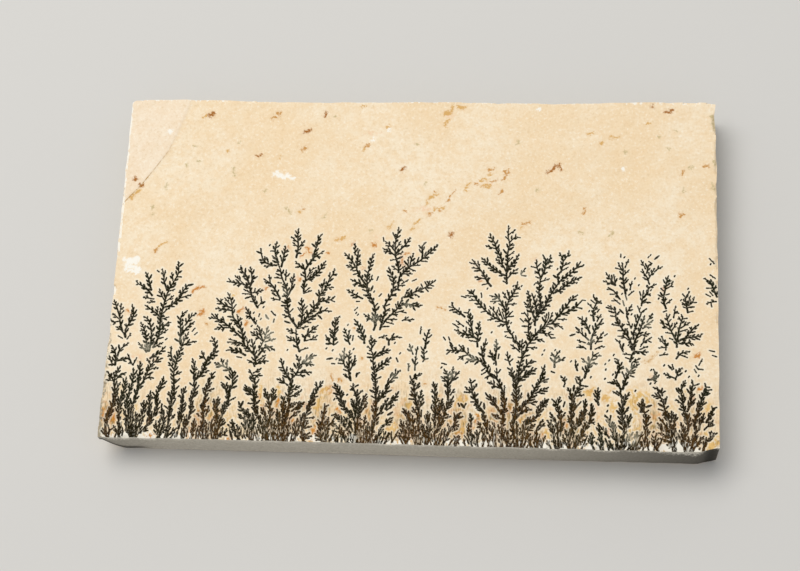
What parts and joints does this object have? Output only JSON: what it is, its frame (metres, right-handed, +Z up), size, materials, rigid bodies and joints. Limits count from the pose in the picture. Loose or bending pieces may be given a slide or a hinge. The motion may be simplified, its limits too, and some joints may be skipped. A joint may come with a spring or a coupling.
{
  "type": "dendritic limestone plate",
  "caption": "Thin sawn plate of cream fine-grained limestone, with fern-like dark mineral dendrites staining its cleft upper face from the front edge inwards.",
  "frame": {"origin": "middle of the outline, on the plane that the plate's underside rests on", "axes": "+Z up, out of the face with the dendrites; +X along the plate's long side; +Y from the edge that the dendrites grow from towards the bare edge"},
  "size_m": [0.0967, 0.0582, 0.0081],
  "materials": {
    "limestone": "cleft bedding plane, warm cream, matte, with near-black to brown-green dendrites and rust flecks; sides sawn, matte, grey-beige"
  },
  "bodies": {
    "root": {"limestone_plate": "limestone"}
  },
  "joints": []
}
